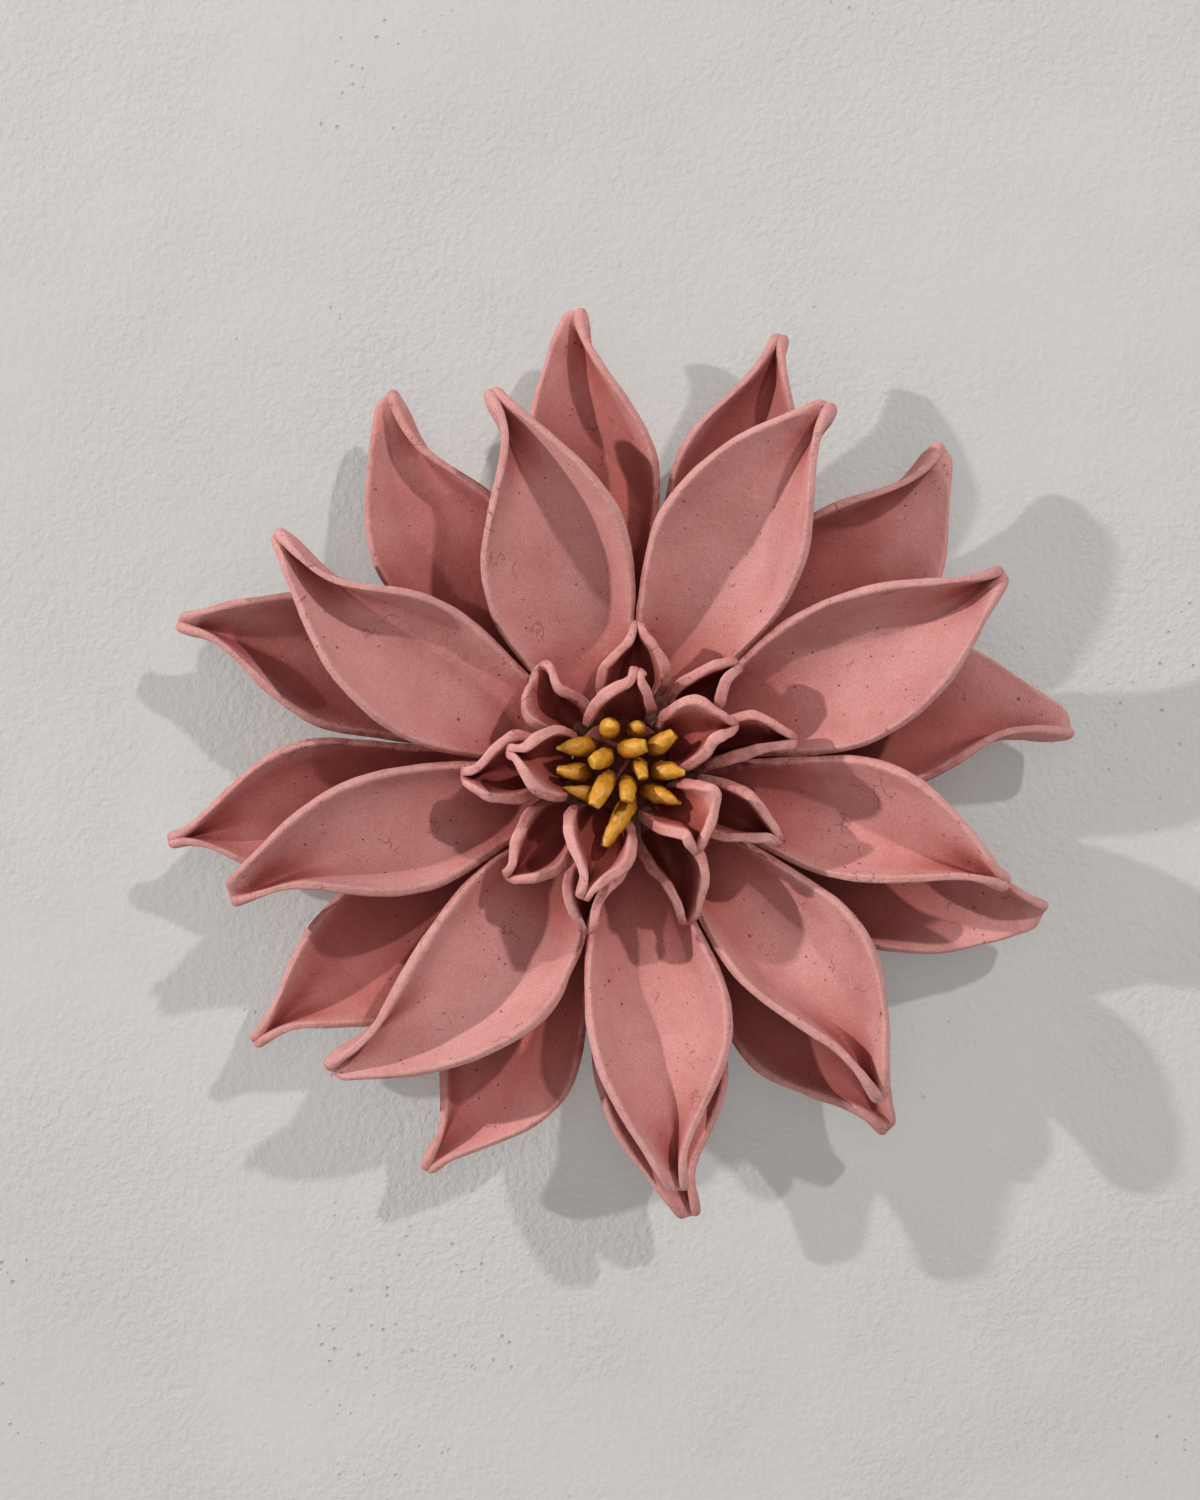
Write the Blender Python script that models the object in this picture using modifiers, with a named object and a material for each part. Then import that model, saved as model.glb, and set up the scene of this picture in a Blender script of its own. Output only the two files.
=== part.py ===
"""Hand-built clay wall flower: four rings of cupped petals with pinched tips, round clay stamens.

The flower hangs on a wall. +Z is up, +X is to the viewer's right, and the petals face -Y. The origin is the
centre of the hub's back face, which lies on the wall. Clock angles are degrees counter-clockwise from the
right, as the viewer sees the flower, and "height" is the distance off the wall.
"""

import math
from typing import NamedTuple

import bmesh
import bpy

MM = 0.001

# How far the petals of each ring reach from the flower's axis
BACK_REACH = 176.0 * MM
FRONT_REACH = 156.0 * MM
COLLAR_REACH = 61.0 * MM
HEART_REACH = 44.0 * MM

# How deep the petals are cupped, and how far their tips lift away from what is behind them
BACK_CUP = 14.0 * MM
FRONT_CUP = 17.0 * MM
COLLAR_CUP = 16.0 * MM
HEART_CUP = 15.5 * MM
LARGE_CLAW_CUP = 3.0 * MM
SMALL_CLAW_CUP = 7.0 * MM
LARGE_DEEPEST_AT = 0.7
SMALL_DEEPEST_AT = 0.6
BACK_LIFT = 12.0 * MM
FRONT_LIFT = 7.0 * MM
COLLAR_LIFT = 5.0 * MM
HEART_LIFT = 3.0 * MM

# Clay slabs and the clearances between pieces
LARGE_WALL = 3.5 * MM
LARGE_RIM_SHARE = 0.7
SMALL_WALL = 3.2 * MM
SMALL_RIM_SHARE = 1.0
SEAT_GAP = 0.3 * MM
RING_GAP = 0.6 * MM
SEAM_GAP = 0.6 * MM

# Hub: a disc against the wall, a boss on it that the petals' claws surround, and a button for the stamens
DISC_RADIUS = 45.0 * MM
DISC_THICKNESS = 8.0 * MM
DISC_EDGE_RADIUS = 2.5 * MM
BOSS_LEDGE = 4.5 * MM
BUTTON_MARGIN = 1.0 * MM
BUTTON_EDGE_RADIUS = 1.5 * MM
BUTTON_LEDGE = 0.5 * MM
HUB_STEPS = 24
CORNER_STEPS = 2

# Blind hole in the hub's back that takes a wall nail, near its upper edge
NAIL_HOLE_RADIUS = 4.0 * MM
NAIL_HOLE_FLOOR = 2.5 * MM
NAIL_HOLE_RISE = 30.0 * MM
NAIL_HOLE_SIDES = 20
CUT_OVERSHOOT = 2.0 * MM

# How a rim narrows to the pinched tip
TIP_SLIT = 0.5 * MM
TIP_WALL_SHARE = 0.6
TIP_CUP_SHARE = 0.12
TIP_STARTS_AT = 0.7
TURN_STARTS_AT = 0.45
RIM_STARTS_AT = 0.5
PINCH_SOFTNESS = 1.5 * MM
LARGE_FOLDS_FROM = 0.6
SMALL_FOLDS_FROM = 0.5
LARGE_BLUNTNESS = 0.0
SMALL_BLUNTNESS = 0.7
ARCH_POWER = 1.5

# Steps along and across a petal's sheet, closer together towards the tip
LARGE_ROWS = 10
SMALL_ROWS = 8
COLUMNS = 6
ROW_CROWDING = 1.35

# Half the angle, in degrees, that a cross-section turns through at the claw and along the body
CLAW_SHARE = 0.4
CLAW_CURL = 60.0
LARGE_CURL = 70.0
SMALL_CURL = 82.0

# Stamens: rolled pegs in two circles on the button
STAMEN_DIAMETER = 7.0 * MM
STAMEN_HEIGHT = 18.0 * MM
STAMEN_GAP = 0.5 * MM
INNER_CIRCLE_PITCHES = 0.88
OUTER_CIRCLE_PITCHES = 1.86
STAMEN_POINTS = 7
STAMEN_STRAIGHT_SHARE = 1 / 6
STAMEN_WIDEST_AT = 1 / 2
STAMEN_BEND = 1.7

SCREW_MERGE = 0.0001


class Petal(NamedTuple):
    """One petal as measured, with its reach as a share of its ring's.

    Its rims leave the seams, and would meet, at the given shares of its own reach. tip_roll turns the pinched
    tip, in degrees: a positive one lays the left rim over the right.
    """

    clock: float
    tip_clock: float
    reach: float
    seam: float
    left_leaves: float
    left_meets: float
    right_leaves: float
    right_meets: float
    tip_roll: float = 0.0


class Ring(NamedTuple):
    """One ring of petals. heights holds the keel's and the rim's height off the wall at a radius."""

    name: str
    petals: list
    start: float
    reach: float
    wall: float
    rim_share: float
    folds_from: float
    bluntness: float
    curl: float
    heights: tuple
    rows: int


class Stamen(NamedTuple):
    """One stamen: its circle, where it stands, where its tip lies in pitches from the axis, and its form."""

    outer: bool
    clock: float
    tip_clock: float
    tip_pitches: float
    rise: float
    girth: float
    tip_share: float


# Each list runs clockwise. A petal's seam is the clock angle where it meets the petal listed before it.
BACK_PETALS = [
    Petal(95.5, 95.5, 1.001, 110.5, 0.54, 1.14, 0.58, 1.02, -25.0),
    Petal(69.5, 69.5, 1.005, 81.0, 0.64, 0.99, 0.64, 1.06, -25.0),
    Petal(40.0, 44.7, 0.992, 56.0, 0.56, 1.00, 0.68, 1.09, 30.0),
    Petal(9.5, 4.5, 0.988, 25.0, 0.66, 1.12, 0.54, 0.92, -35.0),
    Petal(-23.0, -19.0, 0.985, -7.5, 0.50, 1.15, 0.55, 1.16, 30.0),
    Petal(-54.0, -54.0, 0.988, -38.5, 0.56, 1.13, 0.65, 1.00),
    Petal(-82.0, -81.0, 0.999, -68.7, 0.66, 0.94, 0.57, 1.13),
    Petal(-112.0, -115.6, 0.979, -97.0, 0.68, 1.05, 0.62, 0.96),
    Petal(-143.0, -143.0, 1.007, -127.0, 0.63, 0.98, 0.56, 1.06),
    Petal(-172.0, -170.5, 1.001, -158.0, 0.67, 1.00, 0.65, 1.02),
    Petal(-200.0, -198.0, 1.016, -186.0, 0.60, 0.98, 0.55, 1.11),
    Petal(-232.0, -238.0, 0.961, -215.0, 0.57, 1.12, 0.53, 0.95, -30.0),
]

FRONT_PETALS = [
    Petal(105.0, 109.0, 0.952, 134.8, 0.40, 0.97, 0.40, 1.08, 15.0),
    Petal(63.0, 60.0, 0.998, 84.0, 0.50, 1.11, 0.46, 1.02, -15.0),
    Petal(23.0, 27.0, 1.024, 42.0, 0.48, 1.06, 0.48, 1.10),
    Petal(-13.5, -17.0, 0.969, 2.8, 0.56, 1.07, 0.46, 1.01),
    Petal(-46.5, -52.0, 1.010, -31.0, 0.58, 1.08, 0.49, 0.97),
    Petal(-82.0, -82.0, 1.024, -63.5, 0.56, 0.97, 0.41, 1.15),
    Petal(-122.0, -134.0, 1.005, -101.3, 0.40, 1.14, 0.40, 1.06, -20.0),
    Petal(-164.0, -161.0, 0.986, -144.3, 0.46, 0.94, 0.40, 1.20, -10.0),
    Petal(-205.0, -214.0, 0.996, -182.0, 0.30, 1.10, 0.51, 0.92, -25.0),
]

COLLAR_PETALS = [
    Petal(140.0, 127.0, 0.795, 158.0, 0.80, 1.10, 0.42, 0.90),
    Petal(84.0, 84.0, 0.887, 109.5, 0.54, 0.90, 0.62, 0.98),
    Petal(41.5, 41.0, 0.962, 57.0, 0.64, 1.05, 0.66, 0.89),
    Petal(10.5, 9.0, 1.092, 26.2, 0.68, 1.05, 0.36, 0.84),
    Petal(-25.0, -25.0, 1.092, -6.0, 0.64, 0.98, 0.50, 0.95),
    Petal(-62.0, -67.5, 1.048, -44.0, 0.60, 1.08, 0.47, 0.84),
    Petal(-102.0, -102.6, 1.041, -81.5, 0.56, 0.80, 0.68, 1.05),
    Petal(-135.5, -135.5, 0.992, -118.5, 0.72, 1.04, 0.49, 1.00),
    Petal(-177.0, -177.0, 0.987, -159.5, 0.69, 1.05, 0.62, 0.92),
]

HEART_PETALS = [
    Petal(81.0, 81.0, 0.830, 139.0, 0.47, 0.88, 0.57, 0.93),
    Petal(23.0, 19.5, 1.014, 53.0, 0.66, 1.02, 0.48, 0.84),
    Petal(-34.0, -46.7, 0.989, -10.5, 0.80, 0.96, 0.45, 0.80),
    Petal(-106.0, -107.4, 1.132, -76.5, 0.57, 0.96, 0.48, 0.82),
    Petal(-188.0, -188.0, 0.955, -143.5, 0.50, 0.99, 0.54, 0.92),
]

STAMENS = [
    Stamen(True, 108.0, 104.0, 2.41, 0.94, 1.29, 0.20),
    Stamen(True, 68.0, 65.0, 2.36, 0.78, 1.06, 0.45),
    Stamen(True, 29.0, 32.0, 3.06, 0.94, 1.18, 0.70),
    Stamen(True, -6.0, -6.0, 3.15, 0.83, 1.23, 0.35),
    Stamen(True, -42.0, -32.0, 3.51, 0.78, 1.12, 0.20),
    Stamen(True, -78.0, -102.0, 4.07, 1.00, 1.18, 0.50),
    Stamen(True, -122.0, -160.0, 3.10, 0.80, 1.05, 0.20),
    Stamen(True, -168.0, -177.0, 3.22, 0.83, 1.18, 0.40),
    Stamen(True, -212.0, -195.5, 3.35, 0.89, 1.23, 0.20),
    Stamen(False, 76.0, 39.0, 1.59, 1.06, 1.18, 0.75),
    Stamen(False, 6.0, -30.0, 1.26, 0.94, 0.95, 0.60),
    Stamen(False, -68.0, -82.0, 1.74, 1.11, 1.12, 0.70),
    Stamen(False, -140.0, -125.0, 2.42, 1.22, 1.18, 0.75),
    Stamen(False, 148.0, 174.0, 1.50, 1.11, 1.18, 0.80),
]


def ease(value):
    """A smooth step from 0 to 1 as value goes from 0 to 1."""
    value = min(max(value, 0.0), 1.0)
    return value * value * (3 - 2 * value)


def pinch(value, bluntness):
    """1 up to value 0, and 0 from value 1: between them a slender half wave or, with bluntness 1, an arch."""
    value = min(max(value, 0.0), 1.0)
    return blend(0.5 + 0.5 * math.cos(math.pi * value), 1 - value**ARCH_POWER, bluntness)


def blend(start, end, share):
    return start + (end - start) * share


def stacked_heights(floor, wall, seat_end, reach, lift, claw_cup, body_cup, deepest_at):
    """The heights of a ring over floor(radius): its keel clears the floor, and its tips lift off it."""

    def keel(radius):
        along = max(radius - seat_end, 0.0) / (reach - seat_end)
        step = 0.5 * MM
        slope = (floor(radius + step) - floor(radius)) / step
        slope += 2 * lift * along / (reach - seat_end)
        return floor(radius) + wall * math.hypot(1, slope) + lift * along**2

    def rim(radius):
        deepening = ease((radius - seat_end) / (deepest_at * reach - seat_end))
        return keel(radius) + blend(claw_cup, body_cup, deepening)

    return keel, rim


STAMEN_PITCH = STAMEN_DIAMETER + STAMEN_GAP
BUTTON_RADIUS = STAMEN_PITCH * OUTER_CIRCLE_PITCHES + STAMEN_DIAMETER / 2 + BUTTON_MARGIN
BOSS_RADIUS = BUTTON_RADIUS + BOSS_LEDGE


def over_disc(radius):
    return DISC_THICKNESS + SEAT_GAP


def over_back_rims(radius):
    return BACK_HEIGHTS[1](radius) + RING_GAP


def over_front_rims(radius):
    return FRONT_HEIGHTS[1](radius) + RING_GAP


def over_collar_rims(radius):
    return COLLAR_HEIGHTS[1](radius) + RING_GAP


# Cups of a large and of a small ring at the claws, and where they are deepest
LARGE_DEPTHS = {"claw_cup": LARGE_CLAW_CUP, "deepest_at": LARGE_DEEPEST_AT}
SMALL_DEPTHS = {"claw_cup": SMALL_CLAW_CUP, "deepest_at": SMALL_DEEPEST_AT}

# Heights off the wall of each ring, each worked out from the ring behind it
BACK_HEIGHTS = stacked_heights(
    over_disc, LARGE_WALL, DISC_RADIUS, BACK_REACH, BACK_LIFT, body_cup=BACK_CUP, **LARGE_DEPTHS
)
FRONT_HEIGHTS = stacked_heights(
    over_back_rims, LARGE_WALL, BOSS_RADIUS, FRONT_REACH, FRONT_LIFT, body_cup=FRONT_CUP, **LARGE_DEPTHS
)
COLLAR_HEIGHTS = stacked_heights(
    over_front_rims, SMALL_WALL, BUTTON_RADIUS, COLLAR_REACH, COLLAR_LIFT, body_cup=COLLAR_CUP, **SMALL_DEPTHS
)
HEART_HEIGHTS = stacked_heights(
    over_collar_rims, SMALL_WALL, BUTTON_RADIUS, HEART_REACH, HEART_LIFT, body_cup=HEART_CUP, **SMALL_DEPTHS
)
BOSS_TOP = FRONT_HEIGHTS[1](BOSS_RADIUS) + RING_GAP - SEAT_GAP
BUTTON_TOP = HEART_HEIGHTS[0](BUTTON_RADIUS) + BUTTON_LEDGE


def large_ring(name, petals, reach, heights):
    start = BOSS_RADIUS + SEAT_GAP
    slab = (LARGE_WALL, LARGE_RIM_SHARE, LARGE_FOLDS_FROM, LARGE_BLUNTNESS, LARGE_CURL)
    return Ring(name, petals, start, reach, *slab, heights, LARGE_ROWS)


def small_ring(name, petals, reach, heights):
    start = BUTTON_RADIUS + SEAT_GAP
    slab = (SMALL_WALL, SMALL_RIM_SHARE, SMALL_FOLDS_FROM, SMALL_BLUNTNESS, SMALL_CURL)
    return Ring(name, petals, start, reach, *slab, heights, SMALL_ROWS)


RINGS = [
    large_ring("back_petal", BACK_PETALS, BACK_REACH, BACK_HEIGHTS),
    large_ring("front_petal", FRONT_PETALS, FRONT_REACH, FRONT_HEIGHTS),
    small_ring("collar_petal", COLLAR_PETALS, COLLAR_REACH, COLLAR_HEIGHTS),
    small_ring("heart_petal", HEART_PETALS, HEART_REACH, HEART_HEIGHTS),
]

# Colour, roughness and metallic value of each clay
CLAYS = {
    "hub_clay": ((0.40, 0.17, 0.15, 1.0), 0.85, 0.0),
    "back_petal_clay": ((0.50, 0.22, 0.20, 1.0), 0.80, 0.0),
    "front_petal_clay": ((0.55, 0.25, 0.22, 1.0), 0.80, 0.0),
    "collar_petal_clay": ((0.50, 0.21, 0.19, 1.0), 0.80, 0.0),
    "heart_petal_clay": ((0.48, 0.20, 0.18, 1.0), 0.80, 0.0),
    "stamen_clay": ((0.68, 0.36, 0.04, 1.0), 0.75, 0.0),
}


def clear_scene():
    for obj in list(bpy.data.objects):
        bpy.data.objects.remove(obj, do_unlink=True)


def make_clays():
    clays = {}
    for name, (colour, roughness, metallic) in CLAYS.items():
        clay = bpy.data.materials.new(name)
        clay.use_nodes = True
        shader = clay.node_tree.nodes["Principled BSDF"]
        shader.inputs["Base Color"].default_value = colour
        shader.inputs["Roughness"].default_value = roughness
        shader.inputs["Metallic"].default_value = metallic
        clays[name] = clay
    return clays


def rim_offset(outer, wall, cup, curl):
    """How far a rim's inner edge stands from the petal's axis, when the wall may reach out to outer."""
    steepness = math.atan2(cup * (1 + math.cos(curl)), max(outer - wall, 0.0) * math.cos(curl))
    spare = outer - wall * math.sin(steepness) - SEAM_GAP / 2 - TIP_SLIT / 2
    return TIP_SLIT / 2 + 0.5 * (spare + math.hypot(spare, PINCH_SOFTNESS))


def rolled(offset, height, middle, degrees):
    """A section's point turned about the middle of its depth."""
    turn = math.radians(degrees)
    above = height - middle
    return (
        offset * math.cos(turn) - above * math.sin(turn),
        middle + offset * math.sin(turn) + above * math.cos(turn),
    )


def section(across, curl, fold):
    """A section's point as shares of the rim's offset and height: an arc, or a V as fold goes to 1."""
    offset = math.sin(curl * across) / math.sin(curl)
    height = (1 - math.cos(curl * across)) / (1 - math.cos(curl))
    return blend(offset, across, fold), blend(height, abs(across), fold)


def petal_point(petal, next_seam, ring, along, across):
    """A point of the petal's front face: its keel runs along +X, its left rim is towards +Y."""
    reach = petal.reach * ring.reach
    radius = blend(ring.start, reach, along)
    share = radius / reach
    axis = blend(petal.clock, petal.tip_clock, ease((share - TURN_STARTS_AT) / (1 - TURN_STARTS_AT)))
    if across >= 0:
        seam, leaves, meets = petal.seam, petal.left_leaves, petal.left_meets
    else:
        seam, leaves, meets = next_seam, petal.right_leaves, petal.right_meets
    narrowing = pinch((share - leaves) / (meets - leaves), ring.bluntness)
    outer = radius * math.radians(abs(seam - axis)) * narrowing
    tip = max(share - TIP_STARTS_AT, 0.0) / (1 - TIP_STARTS_AT)
    curl = math.radians(blend(CLAW_CURL, ring.curl, ease(along / CLAW_SHARE)))
    keel, rim = ring.heights
    cup = (rim(radius) - keel(radius)) * blend(TIP_CUP_SHARE, 1.0, math.sqrt(max(1 - tip * tip, 0.0)))
    side = rim_offset(outer, ring.wall * ring.rim_share, cup, curl)
    fold = ease((share - ring.folds_from) / (1 - ring.folds_from))
    offset_share, height_share = section(across, curl, fold)
    offset, height = rolled(side * offset_share, cup * height_share, cup / 2, petal.tip_roll * ease(tip))
    angle = math.radians(axis - petal.clock) + offset / radius
    return radius * math.cos(angle), radius * math.sin(angle), keel(radius) + height


def wall_share(petal, ring, along, across):
    """The slab's thickness as a share of the ring's wall, which is thinner at the rims and the tip."""
    reach = petal.reach * ring.reach
    share = blend(ring.start, reach, along) / reach
    to_tip = ease((share - TIP_STARTS_AT) / (1 - TIP_STARTS_AT))
    to_rim = ease((abs(across) - RIM_STARTS_AT) / (1 - RIM_STARTS_AT))
    return blend(1.0, ring.rim_share, to_rim) * blend(1.0, TIP_WALL_SHARE, to_tip)


def petal_mesh(name, petal, next_seam, ring):
    """An open sheet, in rows along the petal and columns across it, and each vertex's thickness share."""
    sheet = bmesh.new()
    bmesh.ops.create_grid(sheet, x_segments=ring.rows, y_segments=COLUMNS, size=1.0)
    shares = []
    for vertex in sheet.verts:
        along = 1 - ((1 - vertex.co.x) / 2) ** ROW_CROWDING
        across = vertex.co.y
        shares.append(wall_share(petal, ring, along, across))
        vertex.co = petal_point(petal, next_seam, ring, along, across)
    mesh = bpy.data.meshes.new(name)
    sheet.to_mesh(mesh)
    sheet.free()
    mesh.shade_smooth()
    return mesh, shares


def add_object(name, data, collection, parent, clay):
    obj = bpy.data.objects.new(name, data)
    data.materials.append(clay)
    collection.objects.link(obj)
    obj.parent = parent
    return obj


def add_petal(name, petal, next_seam, ring, collection, flower, clay):
    """A sheet of clay with the ring's wall, turned to its clock angle on the flower's axis."""
    mesh, shares = petal_mesh(name, petal, next_seam, ring)
    obj = add_object(name, mesh, collection, flower, clay)
    obj.rotation_euler.z = math.radians(petal.clock)
    thickness = obj.vertex_groups.new(name="thickness")
    for index, share in enumerate(shares):
        thickness.add([index], share, "REPLACE")
    slab = obj.modifiers.new("Slab", "SOLIDIFY")
    slab.thickness = ring.wall
    slab.offset = -1
    slab.vertex_group = thickness.name
    slab.thickness_vertex_group = 0.0


def add_ring(ring, collection, flower, clays):
    for index, petal in enumerate(ring.petals):
        after = ring.petals[(index + 1) % len(ring.petals)]
        next_seam = after.seam if after.seam < petal.clock else after.seam - 360
        name = f"{ring.name}_{index + 1:02d}"
        add_petal(name, petal, next_seam, ring, collection, flower, clays[f"{ring.name}_clay"])


def rounded_corner(radius, height, fillet):
    """Profile points of a quarter-round outer corner, from its top down to its side."""
    points = []
    for step in range(CORNER_STEPS + 1):
        angle = math.pi / 2 * step / CORNER_STEPS
        inward = fillet * (1 - math.sin(angle))
        down = fillet * (1 - math.cos(angle))
        points.append((radius - inward, height - down))
    return points


def hub_profile():
    """Half the hub's section as radius and height, from its top on the axis to its back on the axis."""
    return [
        (0.0, BUTTON_TOP),
        *rounded_corner(BUTTON_RADIUS, BUTTON_TOP, BUTTON_EDGE_RADIUS),
        (BUTTON_RADIUS, BOSS_TOP),
        (BOSS_RADIUS, BOSS_TOP),
        (BOSS_RADIUS, DISC_THICKNESS),
        *rounded_corner(DISC_RADIUS, DISC_THICKNESS, DISC_EDGE_RADIUS),
        (DISC_RADIUS, 0.0),
        (0.0, 0.0),
    ]


def add_nail_hole(hub, flower):
    """Cuts the blind nail hole with a round cutter, which stays out of the render and out of the part."""
    depth = DISC_THICKNESS - NAIL_HOLE_FLOOR
    mesh = bpy.data.meshes.new("nail_hole_cutter")
    solid = bmesh.new()
    bmesh.ops.create_cone(
        solid,
        cap_ends=True,
        segments=NAIL_HOLE_SIDES,
        radius1=NAIL_HOLE_RADIUS,
        radius2=NAIL_HOLE_RADIUS,
        depth=depth + CUT_OVERSHOOT,
    )
    solid.to_mesh(mesh)
    solid.free()
    cutter = bpy.data.objects.new("nail_hole_cutter", mesh)
    cutter.location = (0, NAIL_HOLE_RISE, (depth - CUT_OVERSHOOT) / 2)
    cutter.parent = flower
    cutter.hide_render = True
    cutter.display_type = "WIRE"
    cutters = bpy.data.collections.new("cutters")
    bpy.context.scene.collection.children.link(cutters)
    cutters.objects.link(cutter)
    hole = hub.modifiers.new("Nail hole", "BOOLEAN")
    hole.operation = "DIFFERENCE"
    hole.solver = "EXACT"
    hole.object = cutter


def add_hub(collection, flower, clay):
    """A turned body, from a profile swept once round the flower's axis."""
    profile = hub_profile()
    mesh = bpy.data.meshes.new("hub")
    points = [(radius, 0, height) for radius, height in profile]
    edges = [(index, index + 1) for index in range(len(points) - 1)]
    mesh.from_pydata(points, edges, [])
    obj = add_object("hub", mesh, collection, flower, clay)
    turning = obj.modifiers.new("Turning", "SCREW")
    turning.steps = HUB_STEPS
    turning.render_steps = HUB_STEPS
    turning.use_merge_vertices = True
    turning.merge_threshold = SCREW_MERGE
    add_nail_hole(obj, flower)


def stamen_path(stamen):
    """Points from the foot, which stands square on the button, along a curve that leans out to the tip."""
    pitches = OUTER_CIRCLE_PITCHES if stamen.outer else INNER_CIRCLE_PITCHES
    foot_angle = math.radians(stamen.clock)
    tip_angle = math.radians(stamen.tip_clock)
    foot = (pitches * STAMEN_PITCH * math.cos(foot_angle), pitches * STAMEN_PITCH * math.sin(foot_angle))
    tip_radius = stamen.tip_pitches * STAMEN_PITCH
    tip = (tip_radius * math.cos(tip_angle), tip_radius * math.sin(tip_angle))
    rise = stamen.rise * STAMEN_HEIGHT
    points = []
    for step in range(STAMEN_POINTS):
        share = step / (STAMEN_POINTS - 1)
        lean = (max(share - STAMEN_STRAIGHT_SHARE, 0.0) / (1 - STAMEN_STRAIGHT_SHARE)) ** STAMEN_BEND
        height = BUTTON_TOP + SEAT_GAP + rise * math.sin(share * math.pi / 2)
        points.append((blend(foot[0], tip[0], lean), blend(foot[1], tip[1], lean), height))
    return points


def stamen_radius(stamen, share):
    """The peg's girth swells to its widest place, then tapers to its tip."""
    if share < STAMEN_WIDEST_AT:
        return blend(1.0, stamen.girth, ease(share / STAMEN_WIDEST_AT))
    return blend(stamen.girth, stamen.tip_share, ((share - STAMEN_WIDEST_AT) / (1 - STAMEN_WIDEST_AT)) ** 2)


def add_stamen(name, stamen, collection, flower, clay):
    curve = bpy.data.curves.new(name, "CURVE")
    curve.dimensions = "3D"
    curve.bevel_depth = STAMEN_DIAMETER / 2
    curve.bevel_resolution = 2
    curve.use_fill_caps = True
    path = stamen_path(stamen)
    spline = curve.splines.new("POLY")
    spline.points.add(len(path) - 1)
    for index, (point, place) in enumerate(zip(spline.points, path)):
        point.co = (*place, 1.0)
        point.radius = stamen_radius(stamen, index / (len(path) - 1))
    add_object(name, curve, collection, flower, clay)


def main():
    clear_scene()
    clays = make_clays()
    collection = bpy.data.collections.new("clay_wall_flower")
    bpy.context.scene.collection.children.link(collection)
    flower = bpy.data.objects.new("flower", None)
    flower.rotation_euler.x = math.radians(90)
    collection.objects.link(flower)
    add_hub(collection, flower, clays["hub_clay"])
    for ring in RINGS:
        add_ring(ring, collection, flower, clays)
    for index, stamen in enumerate(STAMENS):
        add_stamen(f"stamen_{index + 1:02d}", stamen, collection, flower, clays["stamen_clay"])


main()
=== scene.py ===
import math
import random

import bmesh
import bpy
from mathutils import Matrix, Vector
from mathutils.bvhtree import BVHTree


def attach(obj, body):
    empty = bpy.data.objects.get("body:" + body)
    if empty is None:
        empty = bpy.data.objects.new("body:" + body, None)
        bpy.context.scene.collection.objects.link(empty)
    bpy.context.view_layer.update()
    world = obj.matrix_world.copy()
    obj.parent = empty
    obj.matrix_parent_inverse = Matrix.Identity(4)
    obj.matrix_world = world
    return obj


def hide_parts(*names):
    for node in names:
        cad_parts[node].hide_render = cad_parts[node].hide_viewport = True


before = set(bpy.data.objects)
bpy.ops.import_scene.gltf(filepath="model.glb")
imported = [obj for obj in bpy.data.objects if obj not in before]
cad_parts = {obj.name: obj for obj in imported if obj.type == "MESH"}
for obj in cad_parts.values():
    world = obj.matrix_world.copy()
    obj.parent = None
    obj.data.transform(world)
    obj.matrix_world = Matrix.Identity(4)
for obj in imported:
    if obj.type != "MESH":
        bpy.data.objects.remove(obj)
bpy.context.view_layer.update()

# Hub
# The clay disc that lies on the wall, with the boss and button that carry the petals and the stamens.
# It is cut from one thick slab of the same pink clay, and left rough where nothing shows.

HUB_SHAPING = {
    "Levels": 2,
    "Rim crease": 0.6,
    "Dent depth": 0.0006,
    "Dent size": 0.012,
    "Rim waver": 0.0003,
    "Seed": 1.0,
}
# Each clay's darkest colour is painted shade for its closed-in places, and its blush is also used as lighter
# painted shade there
HUB_COLOURS = {
    "Body": (0.53, 0.235, 0.215, 1.0),
    "Blush": (0.33, 0.085, 0.075, 1.0),
    "Stain": (0.12, 0.020, 0.012, 1.0),
    "Worn": (0.60, 0.34, 0.31, 1.0),
}
# How much paler the rims are, by wear and by a painted highlight
RIM_WEAR_AND_HIGHLIGHT = 0.55
# How closed in a place must be before the painted shade begins
PAINTED_SHADE_FROM = 0.16
SPECK = (0.12, 0.045, 0.04, 1.0)
# Pinholes and pits are painted dark, as painted shade in them
HOLE_SHADE = (0.14, 0.045, 0.04, 1.0)
# Cracks are painted dark, as painted shade in them
CRACK_SHADE = (0.16, 0.055, 0.05, 1.0)
CLAY_SHEEN = 0.25
# A noise swings by a half each way, so it is doubled to reach a setting's full depth
FULL_SWING = 2.0
WAVER_SHARE = 0.6
WELD_DISTANCE = 0.00002
FLAT_ENOUGH = math.radians(55)
SHARP_FROM = math.radians(48)
TIP_LENGTH = 0.014
CREVICE_RAYS = 48
CREVICE_REACH = 0.06
RAY_START = 0.0003


def node(tree, kind, inputs=None, **settings):
    """Adds a node, with its settings, and gives each named input a value or a link."""
    made = tree.nodes.new(kind)
    for name, value in settings.items():
        setattr(made, name, value)
    for key, value in (inputs or {}).items():
        if isinstance(value, bpy.types.NodeSocket):
            tree.links.new(value, made.inputs[key])
        else:
            made.inputs[key].default_value = value
    return made


def maths(tree, operation, first, second, clamp=False):
    made = node(tree, "ShaderNodeMath", {0: first, 1: second}, operation=operation, use_clamp=clamp)
    return made.outputs[0]


def times(tree, first, second):
    return maths(tree, "MULTIPLY", first, second)


def plus(tree, first, second):
    return maths(tree, "ADD", first, second)


def centred(tree, value):
    """A noise's value, moved so that it swings about 0."""
    return maths(tree, "SUBTRACT", value, 0.5)


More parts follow.
